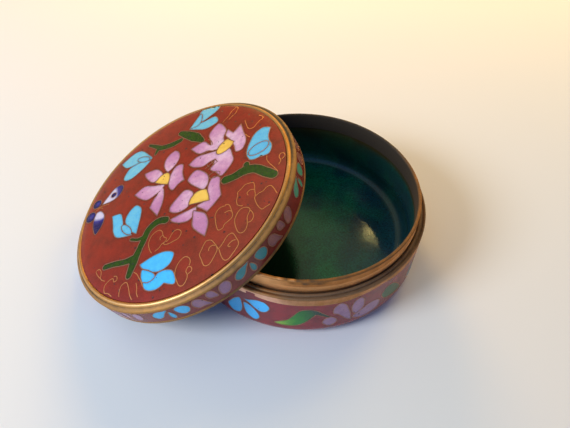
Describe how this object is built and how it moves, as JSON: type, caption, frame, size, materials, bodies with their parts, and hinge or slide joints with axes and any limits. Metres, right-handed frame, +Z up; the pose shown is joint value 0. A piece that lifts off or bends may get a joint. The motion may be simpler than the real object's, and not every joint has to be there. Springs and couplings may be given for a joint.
{
  "type": "round cloisonne enamel trinket box",
  "caption": "Small round copper box with inlaid enamel flowers and a butterfly, open, its lift-off lid leaned on the collar.",
  "frame": {"origin": "middle of the base's flat underside, on the axis that the base is turned round", "axes": "+Z up out of the open base, -X towards the edge of the lid that touches the ground, +Y away from the side the box is seen from"},
  "size_m": [0.0863, 0.065, 0.0313],
  "materials": {
    "base_copper": "aged",
    "collar_copper": "satin",
    "lid_gilt": "worn",
    "top_enamel": "gloss",
    "side_enamel": "gloss",
    "lining_enamel": "gloss",
    "bottom_enamel": "gloss"
  },
  "bodies": {
    "root": {"base_cup": "base_copper", "base_collar": "collar_copper", "base_outer_enamel": "side_enamel", "base_inner_enamel": "lining_enamel", "base_bottom_enamel": "bottom_enamel", "lid_shell": "lid_gilt", "lid_top_enamel": "top_enamel", "lid_side_enamel": "side_enamel", "lid_inner_enamel": "lining_enamel"}
  },
  "joints": []
}
